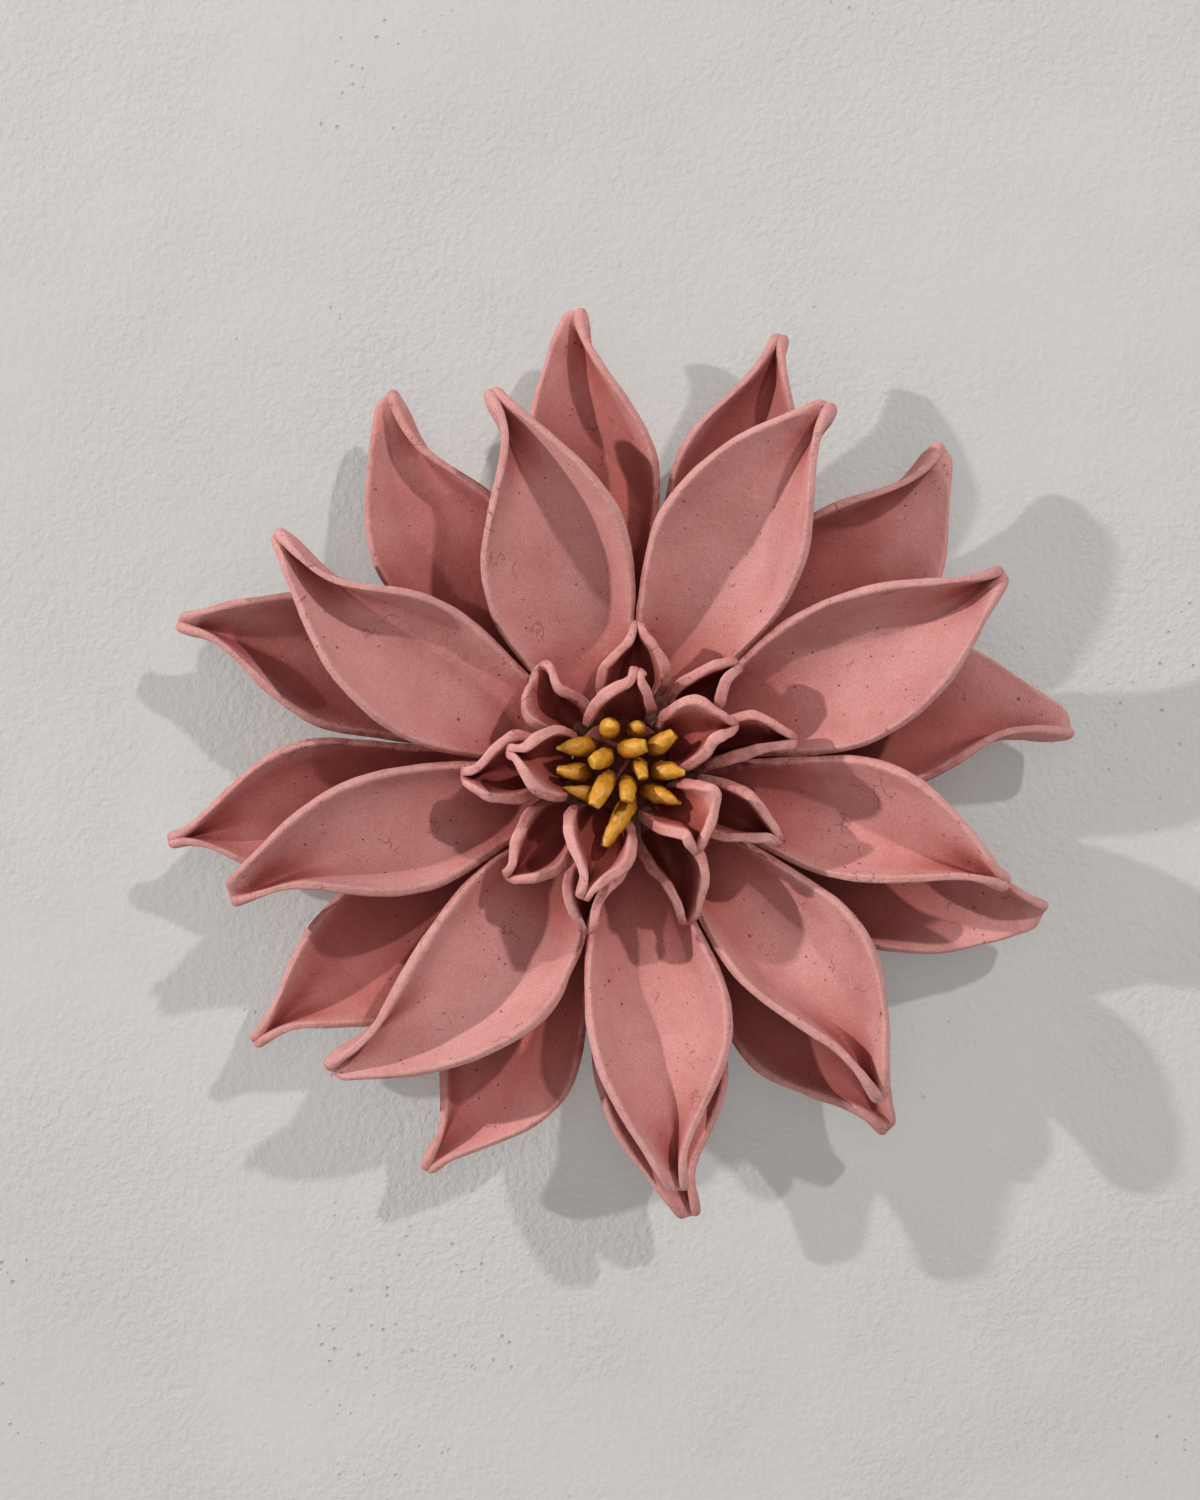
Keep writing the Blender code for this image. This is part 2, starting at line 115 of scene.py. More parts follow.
def ramp(tree, value, start, end, low=0.0, high=1.0):
    """A smooth step of a value, from low at start to high at end."""
    made = node(
        tree,
        "ShaderNodeMapRange",
        {"Value": value, "From Min": start, "From Max": end, "To Min": low, "To Max": high},
        interpolation_type="SMOOTHSTEP",
    )
    return made.outputs[0]


def noise(tree, place, scale, detail, roughness=0.55, distortion=0.0):
    """Cloudy noise from 0 to 1, with about scale waves to the metre."""
    inputs = {
        "Vector": place,
        "Scale": scale,
        "Detail": detail,
        "Roughness": roughness,
        "Distortion": distortion,
    }
    return node(tree, "ShaderNodeTexNoise", inputs).outputs["Fac"]


def pushes(tree, noise_colour, reach):
    """Offsets in any direction, from a noise's colour, which hardly go further than half of reach."""
    swing = node(tree, "ShaderNodeVectorMath", {0: noise_colour, 1: (0.5, 0.5, 0.5)}, operation="SUBTRACT")
    made = node(tree, "ShaderNodeVectorMath", {0: swing.outputs[0], "Scale": reach}, operation="SCALE")
    return made.outputs[0]


def tinted(tree, colour, other, mask, share=1.0):
    """A colour with another laid over it, as much as the mask times the share."""
    cover = times(tree, mask, share)
    return node(tree, "ShaderNodeMix", {0: cover, 6: colour, 7: other}, data_type="RGBA").outputs[2]


def lit(tree, colour, light):
    """A colour made lighter or darker by a factor."""
    grey = node(tree, "ShaderNodeCombineXYZ", {0: light, 1: light, 2: light}).outputs[0]
    made = node(tree, "ShaderNodeMix", {0: 1.0, 6: colour, 7: grey}, data_type="RGBA", blend_type="MULTIPLY")
    return made.outputs[2]


def new_group(name, kind, sockets):
    """A node group whose sockets are given as name, way and type, with a default where it has one."""
    group = bpy.data.node_groups.new(name, kind)
    for label, way, socket_type, *default in sockets:
        socket = group.interface.new_socket(label, in_out=way, socket_type=socket_type)
        if default:
            socket.default_value = default[0]
    return group


def fired_clay_group():
    """Unglazed clay: a mottled body with grain, specks, pinholes and hairline cracks, and scuffed rims, with
    painted shade in closed-in places, pinholes and cracks, and a painted highlight on the rims.
    """
    tree = new_group(
        "fired_clay",
        "ShaderNodeTree",
        [
            ("Body", "INPUT", "NodeSocketColor"),
            ("Blush", "INPUT", "NodeSocketColor"),
            ("Stain", "INPUT", "NodeSocketColor"),
            ("Worn", "INPUT", "NodeSocketColor"),
            ("Rim wear", "INPUT", "NodeSocketFloat"),
            ("Crevice from", "INPUT", "NodeSocketFloat"),
            ("Colour", "OUTPUT", "NodeSocketColor"),
            ("Roughness", "OUTPUT", "NodeSocketFloat"),
            ("Height", "OUTPUT", "NodeSocketFloat"),
        ],
    )
    given = node(tree, "NodeGroupInput").outputs
    place = node(tree, "ShaderNodeTexCoord").outputs["Object"]

    def marked(name):
        return node(tree, "ShaderNodeAttribute", attribute_name=name).outputs["Fac"]

    def bent(scale, reach):
        """The place, pushed about by noise, so that spots and cracks come out ragged."""
        push = node(tree, "ShaderNodeTexNoise", {"Vector": place, "Scale": scale, "Detail": 2.0})
        push = pushes(tree, push.outputs["Color"], reach)
        return node(tree, "ShaderNodeVectorMath", {0: place, 1: push}, operation="ADD").outputs[0]

    speckled = bent(scale=900.0, reach=0.0012)

    def scattered(scale, channel, share, inner, outer):
        """Small round spots, 1 in the middle: one in each cell of the given share of the cells."""
        cells = node(tree, "ShaderNodeTexVoronoi", {"Vector": speckled, "Scale": scale}).outputs
        lot = node(tree, "ShaderNodeSeparateColor", {0: cells["Color"]}).outputs[channel]
        chosen = maths(tree, "GREATER_THAN", lot, 1 - share)
        return times(tree, ramp(tree, cells["Distance"], inner, outer, 1.0, 0.0), chosen)

    # Clouds a few centimetres wide, smudges a fingertip wide, and chalky patches
    clouds = noise(tree, place, scale=24.0, detail=4.0, roughness=0.6, distortion=0.4)
    clouds = ramp(tree, clouds, start=0.36, end=0.70)
    smudges = ramp(tree, noise(tree, place, scale=95.0, detail=5.0, roughness=0.62), start=0.52, end=0.76)
    chalk = ramp(tree, noise(tree, place, scale=150.0, detail=4.0, roughness=0.6), start=0.55, end=0.80)
    colour = tinted(tree, given["Body"], given["Blush"], clouds, share=0.36)
    colour = tinted(tree, colour, given["Blush"], smudges, share=0.20)
    colour = tinted(tree, colour, given["Worn"], chalk, share=0.12)

    # Painted shade: redder and then darker, the more closed in a place is, with an uneven border
    uneven = times(tree, centred(tree, noise(tree, place, scale=60.0, detail=4.0)), 0.25)
    closed_in = plus(tree, marked("occlusion"), uneven)
    colour = tinted(tree, colour, given["Blush"], ramp(tree, closed_in, given["Crevice from"], 0.60))
    colour = tinted(tree, colour, given["Stain"], ramp(tree, closed_in, start=0.45, end=0.95))

    # Grain as fine as sand, over the piece's own tone
    grain = noise(tree, place, scale=1500.0, detail=3.0, roughness=0.7)
    light = times(tree, ramp(tree, grain, start=0.3, end=0.7, low=0.84, high=1.13), marked("tone"))
    colour = lit(tree, colour, light)

    # Dark specks in the clay, pinholes where a bubble broke, and larger pits; the holes are painted dark as
    # painted shade
    specks = scattered(scale=270.0, channel=0, share=0.20, inner=0.06, outer=0.15)
    pinholes = scattered(scale=210.0, channel=1, share=0.32, inner=0.05, outer=0.12)
    pits = scattered(scale=110.0, channel=2, share=0.30, inner=0.035, outer=0.085)
    holes = maths(tree, "MAXIMUM", pinholes, pits)
    colour = tinted(tree, colour, SPECK, specks, share=0.8)
    colour = tinted(tree, colour, HOLE_SHADE, holes, share=0.85)

    # Short drying cracks, most of them at the rims, painted dark as painted shade in them
    borders = {"Vector": bent(scale=130.0, reach=0.016), "Scale": 74.0}
    veins = node(tree, "ShaderNodeTexVoronoi", borders, feature="DISTANCE_TO_EDGE").outputs["Distance"]
    veins = plus(tree, veins, times(tree, centred(tree, noise(tree, place, scale=420.0, detail=3.0)), 0.05))
    rim = marked("rim")
    some_rims = ramp(tree, noise(tree, place, scale=38.0, detail=2.0), start=0.61, end=0.67)
    near_rim = times(tree, ramp(tree, rim, start=0.30, end=0.60), some_rims)
    elsewhere = noise(tree, place, scale=47.0, detail=2.0, roughness=0.5, distortion=1.0)
    elsewhere = times(tree, ramp(tree, elsewhere, start=0.63, end=0.67), 0.6)
    cracked = maths(tree, "MAXIMUM", near_rim, elsewhere)
    cracks = times(tree, ramp(tree, veins, start=0.004, end=0.022, low=1.0, high=0.0), cracked)
    colour = tinted(tree, colour, CRACK_SHADE, cracks, share=0.6)

    # Rims paler in scuffs: rubbed wear, with a painted highlight on the cut edges
    scuffs = times(tree, centred(tree, noise(tree, place, scale=260.0, detail=5.0, roughness=0.7)), 1.1)
    worn_and_highlit_edge = ramp(tree, plus(tree, rim, scuffs), start=0.84, end=1.06)
    worn_and_highlit_edge = times(tree, worn_and_highlit_edge, given["Rim wear"])
    colour = tinted(tree, colour, given["Worn"], worn_and_highlit_edge, share=0.5)

    # Heights in metres: bumps as wide as a few grains, the grain itself, chipped rims, holes and cracks
    height = times(tree, noise(tree, place, scale=300.0, detail=5.0, roughness=0.62), 0.00038)
    height = plus(tree, height, times(tree, grain, 0.00010))
    chips = noise(tree, place, scale=700.0, detail=4.0, roughness=0.7)
    height = plus(tree, height, times(tree, chips, times(tree, worn_and_highlit_edge, 0.00045)))
    height = maths(tree, "SUBTRACT", height, times(tree, holes, 0.0003))
    height = maths(tree, "SUBTRACT", height, times(tree, cracks, 0.0004))
    roughness = times(tree, noise(tree, place, scale=60.0, detail=3.0), 0.22)
    roughness = maths(tree, "ADD", 0.70, roughness, clamp=True)
    node(tree, "NodeGroupOutput", {"Colour": colour, "Roughness": roughness, "Height": height})
    return tree


fired_clay = fired_clay_group()


def grouped_material(name, group, inputs):
    """A material whose colour, roughness and relief all come from one node group."""
    material = bpy.data.materials.new(name)
    material.use_nodes = True
    tree = material.node_tree
    shader = tree.nodes["Principled BSDF"]
    skin = node(tree, "ShaderNodeGroup", node_tree=group)
    for label, value in inputs.items():
        skin.inputs[label].default_value = value
    height = skin.outputs["Height"]
    relief = node(tree, "ShaderNodeBump", {"Strength": 1.0, "Distance": 1.0, "Height": height})
    tree.links.new(skin.outputs["Colour"], shader.inputs["Base Color"])
    tree.links.new(skin.outputs["Roughness"], shader.inputs["Roughness"])
    tree.links.new(relief.outputs["Normal"], shader.inputs["Normal"])
    return material


def clay_material(name, colours, rim_wear_and_highlight=RIM_WEAR_AND_HIGHLIGHT, painted_shade_from=PAINTED_SHADE_FROM):
    inputs = {**colours, "Rim wear": rim_wear_and_highlight, "Crevice from": painted_shade_from}
    material = grouped_material(name, fired_clay, inputs)
    shader = material.node_tree.nodes["Principled BSDF"]
    shader.inputs["Specular IOR Level"].default_value = CLAY_SHEEN
    return material


def hand_shaping_group():
    """Smooths a slab of clay, keeps its cut rims, and presses uneven finger dents into it."""
    tree = new_group(
        "hand_shaping",
        "GeometryNodeTree",
        [
            ("Slab", "INPUT", "NodeSocketGeometry"),
            ("Levels", "INPUT", "NodeSocketInt"),
            ("Rim crease", "INPUT", "NodeSocketFloat"),
            ("Dent depth", "INPUT", "NodeSocketFloat"),
            ("Dent size", "INPUT", "NodeSocketFloat"),
            ("Rim waver", "INPUT", "NodeSocketFloat"),
            ("Rim swell", "INPUT", "NodeSocketFloat"),
            ("Tip swell", "INPUT", "NodeSocketFloat"),
            ("Tone", "INPUT", "NodeSocketFloat", 1.0),
            ("Seed", "INPUT", "NodeSocketFloat"),
            ("Clay", "INPUT", "NodeSocketMaterial"),
            ("Shaped", "OUTPUT", "NodeSocketGeometry"),
        ],
    )
    given = node(tree, "NodeGroupInput").outputs

    def stored(name):
        found = node(tree, "GeometryNodeInputNamedAttribute", {"Name": name}, data_type="FLOAT")
        return found.outputs["Attribute"]

    toned = node(
        tree,
        "GeometryNodeStoreNamedAttribute",
        {"Geometry": given["Slab"], "Name": "tone", "Value": given["Tone"]},
        data_type="FLOAT",
        domain="POINT",
    )
    crease = times(tree, stored("rim_edge"), given["Rim crease"])
    smooth = node(
        tree,
        "GeometryNodeSubdivisionSurface",
        {"Mesh": toned.outputs[0], "Level": given["Levels"], "Edge Crease": crease},
    )
    place = node(tree, "GeometryNodeInputPosition").outputs[0]
    normal = node(tree, "GeometryNodeInputNormal").outputs[0]

    # Along the normal: dents, rims that swell unevenly, and swollen tips
    per_metre = maths(tree, "DIVIDE", 1.0, given["Dent size"])
    dents = node(
        tree,
        "ShaderNodeTexNoise",
        {"Vector": place, "W": given["Seed"], "Scale": per_metre, "Detail": 2.0, "Roughness": 0.45},
        noise_dimensions="4D",
    ).outputs["Fac"]
    press = times(tree, centred(tree, dents), given["Dent depth"])
    press = times(tree, press, FULL_SWING)
    swell = times(tree, times(tree, stored("rim"), given["Rim swell"]), dents)
    press = plus(tree, press, times(tree, swell, FULL_SWING))
    press = plus(tree, press, times(tree, stored("tip"), given["Tip swell"]))
    sink = node(tree, "ShaderNodeVectorMath", {0: normal, "Scale": press}, operation="SCALE").outputs[0]

    # In any direction: rims that waver as hand-cut slab does, in longer waves than the dents
    wander = node(
        tree,
        "ShaderNodeTexNoise",
        {"Vector": place, "W": given["Seed"], "Scale": times(tree, per_metre, WAVER_SHARE), "Detail": 1.5},
        noise_dimensions="4D",
    )
    reach = times(tree, times(tree, stored("rim"), given["Rim waver"]), FULL_SWING)
    waver = pushes(tree, wander.outputs["Color"], reach)
    moved = node(tree, "ShaderNodeVectorMath", {0: sink, 1: waver}, operation="ADD").outputs[0]

    pressed = node(tree, "GeometryNodeSetPosition", {"Geometry": smooth.outputs[0], "Offset": moved})
    shaded = node(tree, "GeometryNodeSetShadeSmooth", {"Geometry": pressed.outputs[0]})
    single = node(tree, "GeometryNodeRealizeInstances", {"Geometry": shaded.outputs[0]})
    clay = node(tree, "GeometryNodeSetMaterial", {"Geometry": single.outputs[0], "Material": given["Clay"]})
    node(tree, "NodeGroupOutput", {"Shaped": clay.outputs[0]})
    return tree


hand_shaping = hand_shaping_group()


def whole_flower():
    """Every solid of the frame as one tree of faces, for casting rays."""
    places = []
    faces = []
    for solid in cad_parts.values():
        first = len(places)
        places += [vertex.co.copy() for vertex in solid.data.vertices]
        faces += [[first + corner for corner in face.vertices] for face in solid.data.polygons]
    return BVHTree.FromPolygons(places, faces)


def open_directions():
    """Directions over the half-space above +Z, closer together towards +Z, on a sunflower spiral."""
    golden = math.pi * (3 - math.sqrt(5))
    directions = []
    for ray in range(CREVICE_RAYS):
        share = (ray + 0.5) / CREVICE_RAYS
        across = math.sqrt(share)
        up = math.sqrt(1 - share)
        directions.append(Vector((across * math.cos(ray * golden), across * math.sin(ray * golden), up)))
    return directions


flower_faces = whole_flower()
ray_directions = open_directions()


def mark_occlusion(skin):
    """Stores how closed in each vertex is, from 0 in the open to 1, for the painted shade that darkens
    closed-in places.
    """
    occlusion = skin.verts.layers.float.new("occlusion")
    skin.normal_update()
    for vertex in skin.verts:
        turn = Vector((0, 0, 1)).rotation_difference(vertex.normal)
        start = vertex.co + vertex.normal * RAY_START
        hits = 0
        for way in ray_directions:
            if flower_faces.ray_cast(start, turn @ way, CREVICE_REACH)[0]:
                hits += 1
        vertex[occlusion] = hits / CREVICE_RAYS


def from_axis(place):
    """How far a place is from the flower's axis, as the viewer sees it."""
    return math.hypot(place.x, place.z)


def mark_rims(skin, round_tip):
    """Marks the cut rims of a slab: the faces with two sharp edges or more, and those edges.

    The edges in the last stretch of a petal, as long as round_tip, stay soft: the tip is pinched round.
    """
    reach = max(from_axis(vertex.co) for vertex in skin.verts)
    soft_from = reach - round_tip
    tip = skin.verts.layers.float.new("tip")
    for vertex in skin.verts:
        vertex[tip] = max(0.0, 1 - (reach - from_axis(vertex.co)) / TIP_LENGTH)
    rim = skin.verts.layers.float.new("rim")
    rim_edge = skin.edges.layers.float.new("rim_edge")
    for face in skin.faces:
        sharp = [edge for edge in face.edges if edge.is_manifold and edge.calc_face_angle() > SHARP_FROM]
        if len(sharp) < 2:
            continue
        for edge in sharp:
            middle = (edge.verts[0].co + edge.verts[1].co) / 2
            edge[rim_edge] = 0.0 if from_axis(middle) > soft_from else 1.0
        for vertex in face.verts:
            vertex[rim] = 1.0


def welded_mesh(name, round_tip):
    """A copy of a solid's mesh, its loose triangles joined into one skin, as quads where they pair up."""
    skin = bmesh.new()
    skin.from_mesh(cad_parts[name].data)
    bmesh.ops.remove_doubles(skin, verts=skin.verts, dist=WELD_DISTANCE)
    bmesh.ops.join_triangles(
        skin, faces=skin.faces, angle_face_threshold=FLAT_ENOUGH, angle_shape_threshold=FLAT_ENOUGH
    )
    mark_rims(skin, round_tip)
    mark_occlusion(skin)
    mesh = bpy.data.meshes.new(name)
    skin.to_mesh(mesh)
    skin.free()
    return mesh


def set_input(modifier, label, value):
    """Sets a Geometry Nodes modifier's input by its socket's identifier."""
    for socket in modifier.node_group.interface.items_tree:
        if socket.item_type == "SOCKET" and socket.in_out == "INPUT" and socket.name == label:
            modifier[socket.identifier] = value


def shaped_mesh(name, start, tree, settings):
    """The finished piece: a mesh put through a Geometry Nodes tree and made a plain mesh again."""
    rough = bpy.data.objects.new(f"{name}_rough", start)
    bpy.context.scene.collection.objects.link(rough)
    shaping = rough.modifiers.new("Shaping", "NODES")
    shaping.node_group = tree
    for label, value in settings.items():
        set_input(shaping, label, value)
    bpy.context.view_layer.update()
    mesh = bpy.data.meshes.new_from_object(rough.evaluated_get(bpy.context.evaluated_depsgraph_get()))
    bpy.data.objects.remove(rough)
    piece = bpy.data.objects.new(name, mesh)
    bpy.context.scene.collection.objects.link(piece)
    return piece


def add_clay_piece(name, settings, round_tip=0.0):
    """Shapes a copy of a solid by hand and puts it in the solid's place."""
    piece = shaped_mesh(f"{name}_clay", welded_mesh(name, round_tip), hand_shaping, settings)
    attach(piece, "root")
    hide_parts(name)


hub_material = clay_material("hub_pink_clay", HUB_COLOURS)
add_clay_piece("hub", {**HUB_SHAPING, "Clay": hub_material})

# Back petals
# Twelve long cupped petals against the wall, each cut from a rolled slab of pink clay.
# The maker cupped each one in the palm, pinched its two rims together at the tip, and slipped its narrow
# foot to the hub.

BACK_COUNT = 12
BACK_SEED = 2
LARGE_SHAPING = {
    "Levels": 3,
    "Rim crease": 0.62,
    "Dent depth": 0.00055,
    "Dent size": 0.022,
    "Rim waver": 0.0016,
    "Rim swell": 0.0006,
    "Tip swell": 0.0011,
}
# The darkest colour is painted shade for closed-in places, and the blush is also used as painted shade
BACK_COLOURS = {
    "Body": (0.560, 0.250, 0.233, 1.0),
    "Blush": (0.37, 0.100, 0.088, 1.0),
    "Stain": (0.26, 0.055, 0.047, 1.0),
    "Worn": (0.64, 0.38, 0.35, 1.0),
}
TONE_SPREAD = 0.06
LAST_SEED = 1000
ROUND_TIP = 0.0045


def add_petals(ring, count, material, seed, settings, odd_ones=()):
    """Shapes each petal of a ring, with dents and a tone of its own.

    odd_ones gives the numbers of petals that differ, each with the settings that are its own.
    """
    chance = random.Random(seed)
    for index in range(1, count + 1):
        own = {
            "Seed": chance.uniform(0, LAST_SEED),
            "Tone": chance.uniform(1 - TONE_SPREAD, 1 + TONE_SPREAD),
            **dict(odd_ones).get(index, {}),
        }
        petal_settings = {**settings, **own, "Clay": material}
        add_clay_piece(f"{ring}_{index:02d}", petal_settings, ROUND_TIP)


back_material = clay_material("back_petal_pink_clay", BACK_COLOURS)
add_petals("back_petal", BACK_COUNT, back_material, BACK_SEED, LARGE_SHAPING)

# Front petals
# Nine deeper petals of the same slab clay, set over the gaps of the back ring.
# Their floors are wiped smooth, and their rims are a little paler where the clay dried and rubbed, and by a
# painted highlight.

FRONT_COUNT = 9
FRONT_SEED = 3
# The darkest colour is painted shade for closed-in places, and the blush is also used as painted shade
FRONT_COLOURS = {
    "Body": (0.575, 0.266, 0.250, 1.0),
    "Blush": (0.39, 0.108, 0.095, 1.0),
    "Stain": (0.27, 0.058, 0.050, 1.0),
    "Worn": (0.65, 0.40, 0.37, 1.0),
}
THICK_RIMMED = 7
THICK_RIMS = {"Rim swell": 0.0009}

front_material = clay_material("front_petal_pink_clay", FRONT_COLOURS)
odd_petals = {THICK_RIMMED: THICK_RIMS}
add_petals("front_petal", FRONT_COUNT, front_material, FRONT_SEED, LARGE_SHAPING, odd_petals)

# Collar petals
# Nine small petals round the centre, of thicker clay for their size, so that their rims show as broad pale
# bands, rubbed paler and with a painted highlight. Each is folded once along its middle and nipped at the
# tip.

COLLAR_COUNT = 9
COLLAR_SEED = 4
SMALL_SHAPING = {
    "Levels": 3,
    "Rim crease": 0.60,
    "Dent depth": 0.00035,
    "Dent size": 0.010,
    "Rim waver": 0.0030,
    "Rim swell": 0.0005,
    "Tip swell": 0.0004,
}
# The darkest colour is painted shade for closed-in places, and the blush is also used as painted shade
COLLAR_COLOURS = {
    "Body": (0.61, 0.285, 0.262, 1.0),
    "Blush": (0.38, 0.095, 0.082, 1.0),
    "Stain": (0.15, 0.020, 0.016, 1.0),
    "Worn": (0.74, 0.46, 0.43, 1.0),
}
SMALL_RIM_WEAR_AND_HIGHLIGHT = 0.45
SMALL_PAINTED_SHADE_FROM = 0.08

collar_material = clay_material(
    "collar_petal_pink_clay", COLLAR_COLOURS, SMALL_RIM_WEAR_AND_HIGHLIGHT, SMALL_PAINTED_SHADE_FROM
)
add_petals("collar_petal", COLLAR_COUNT, collar_material, COLLAR_SEED, SMALL_SHAPING)

# Heart petals
# Five petals that stand round the stamens, of the same clay as the collar.
# Their floors lie in shade, and painted shade gives them the reddest, darkest colour of the flower.

HEART_COUNT = 5
HEART_SEED = 5
# The darkest colour is painted shade for closed-in places, and the blush is also used as painted shade
HEART_COLOURS = {
    "Body": (0.60, 0.275, 0.250, 1.0),
    "Blush": (0.36, 0.080, 0.060, 1.0),
    "Stain": (0.13, 0.014, 0.008, 1.0),
    "Worn": (0.74, 0.46, 0.43, 1.0),
}

heart_material = clay_material("heart_petal_pink_clay", HEART_COLOURS, SMALL_RIM_WEAR_AND_HIGHLIGHT, SMALL_PAINTED_SHADE_FROM)
add_petals("heart_petal", HEART_COUNT, heart_material, HEART_SEED, SMALL_SHAPING)

# Stamens
# Fourteen pegs of mustard clay, rolled between the fingers, and cut or nipped at the end. The slip that
# holds them to the button has left brown smears, and handling has given them a slight sheen.

STAMEN_COUNT = 14
STAMEN_SHAPING = {
    "Levels": 3,
    "Rim crease": 0.8,
    "Dent depth": 0.0010,
    "Dent size": 0.0045,
    "Rim waver": 0.0007,
}
STAMEN_SEED = 140.0
STAMEN_SEED_STEP = 1.91
MUSTARD_COLOURS = {
    "Yellow": (0.58, 0.26, 0.017, 1.0),
    "Pale": (0.71, 0.39, 0.055, 1.0),
    "Brown": (0.25, 0.075, 0.008, 1.0),
}


def mustard_group():
    """Mustard clay: yellow mottled and flecked with brown, with pale scuffs."""
    tree = new_group(
        "mustard_clay",
        "ShaderNodeTree",
        [
            ("Yellow", "INPUT", "NodeSocketColor"),
            ("Pale", "INPUT", "NodeSocketColor"),
            ("Brown", "INPUT", "NodeSocketColor"),
            ("Colour", "OUTPUT", "NodeSocketColor"),
            ("Roughness", "OUTPUT", "NodeSocketFloat"),
            ("Height", "OUTPUT", "NodeSocketFloat"),
        ],
    )
    given = node(tree, "NodeGroupInput").outputs
    place = node(tree, "ShaderNodeTexCoord").outputs["Object"]
    end = node(tree, "ShaderNodeAttribute", attribute_name="rim").outputs["Fac"]
    closed_in = node(tree, "ShaderNodeAttribute", attribute_name="occlusion").outputs["Fac"]

    scuffs = ramp(tree, noise(tree, place, scale=260.0, detail=4.0, roughness=0.6), start=0.52, end=0.76)
    smears = ramp(tree, noise(tree, place, scale=190.0, detail=5.0, roughness=0.65), start=0.50, end=0.74)
    fine = noise(tree, place, scale=1100.0, detail=4.0, roughness=0.7)
    colour = tinted(tree, given["Yellow"], given["Pale"], scuffs, share=0.55)
    colour = tinted(tree, colour, given["Brown"], smears, share=0.72)
    # The cut ends paler, as a painted highlight
    colour = tinted(tree, colour, given["Pale"], ramp(tree, end, start=0.45, end=0.95), share=0.6)
    # The feet darkened brown where they are closed in, as painted shade
    painted_shade_at_foot = ramp(tree, closed_in, start=0.25, end=0.80, low=0.0, high=0.9)
    colour = tinted(tree, colour, given["Brown"], painted_shade_at_foot)
    colour = tinted(tree, colour, given["Brown"], ramp(tree, fine, start=0.62, end=0.78), share=0.4)

    height = times(tree, noise(tree, place, scale=420.0, detail=5.0, roughness=0.6), 0.00055)
    height = plus(tree, height, times(tree, fine, 0.0001))
    roughness = maths(tree, "ADD", 0.38, times(tree, smears, 0.3), clamp=True)
    node(tree, "NodeGroupOutput", {"Colour": colour, "Roughness": roughness, "Height": height})
    return tree


stamen_material = grouped_material("stamen_mustard_clay", mustard_group(), MUSTARD_COLOURS)
for index in range(1, STAMEN_COUNT + 1):
    own = {"Seed": STAMEN_SEED + STAMEN_SEED_STEP * index, "Clay": stamen_material}
    add_clay_piece(f"stamen_{index:02d}", {**STAMEN_SHAPING, **own})

# Clay crumbs
# A few small crumbs of the petals' own clay, which fell while the rims were trimmed.
# They were fired where they lay, on the petals at the collar and beside it.

CRUMB_COUNT = 12
CRUMB_NEAR = 0.056
CRUMB_FAR = 0.085
CRUMB_SMALL = 0.0004
CRUMB_LARGE = 0.0011
CRUMB_LUMPS = 1.3
CRUMB_LUMPINESS = 1.4
CRUMB_TURN = (6.3, 6.3, 6.3)
CRUMB_SEED = 12
LOOK_FROM = -1.0


def crumb_group():
    """A lumpy crumb on every point, each with its own size and turn."""
    tree = new_group(
        "crumbs",
        "GeometryNodeTree",
        [
            ("Points", "INPUT", "NodeSocketGeometry"),
            ("Smallest", "INPUT", "NodeSocketFloat"),
            ("Largest", "INPUT", "NodeSocketFloat"),
            ("Seed", "INPUT", "NodeSocketInt"),
            ("Clay", "INPUT", "NodeSocketMaterial"),
            ("Crumbs", "OUTPUT", "NodeSocketGeometry"),
        ],
    )
    given = node(tree, "NodeGroupInput").outputs
    ball = node(tree, "GeometryNodeMeshIcoSphere", {"Radius": 1.0, "Subdivisions": 3})
    place = node(tree, "GeometryNodeInputPosition").outputs[0]
    lumps = node(tree, "ShaderNodeTexNoise", {"Vector": place, "Scale": CRUMB_LUMPS, "Detail": 3.0})
    moved = pushes(tree, lumps.outputs["Color"], CRUMB_LUMPINESS)
    lump = node(tree, "GeometryNodeSetPosition", {"Geometry": ball.outputs["Mesh"], "Offset": moved})
    size = node(
        tree,
        "FunctionNodeRandomValue",
        {2: given["Smallest"], 3: given["Largest"], "Seed": given["Seed"]},
        data_type="FLOAT",
    )
    turn = node(
        tree,
        "FunctionNodeRandomValue",
        {0: (0, 0, 0), 1: CRUMB_TURN, "Seed": given["Seed"]},
        data_type="FLOAT_VECTOR",
    )
    placed = node(
        tree,
        "GeometryNodeInstanceOnPoints",
        {
            "Points": given["Points"],
            "Instance": lump.outputs[0],
            "Rotation": turn.outputs[0],
            "Scale": size.outputs[1],
        },
    )
    single = node(tree, "GeometryNodeRealizeInstances", {"Geometry": placed.outputs[0]})
    toned = node(
        tree,
        "GeometryNodeStoreNamedAttribute",
        {"Geometry": single.outputs[0], "Name": "tone", "Value": 1.0},
        data_type="FLOAT",
        domain="POINT",
    )
    shaded = node(tree, "GeometryNodeSetShadeSmooth", {"Geometry": toned.outputs[0]})
    clay = node(tree, "GeometryNodeSetMaterial", {"Geometry": shaded.outputs[0], "Material": given["Clay"]})
    node(tree, "NodeGroupOutput", {"Crumbs": clay.outputs[0]})
    return tree


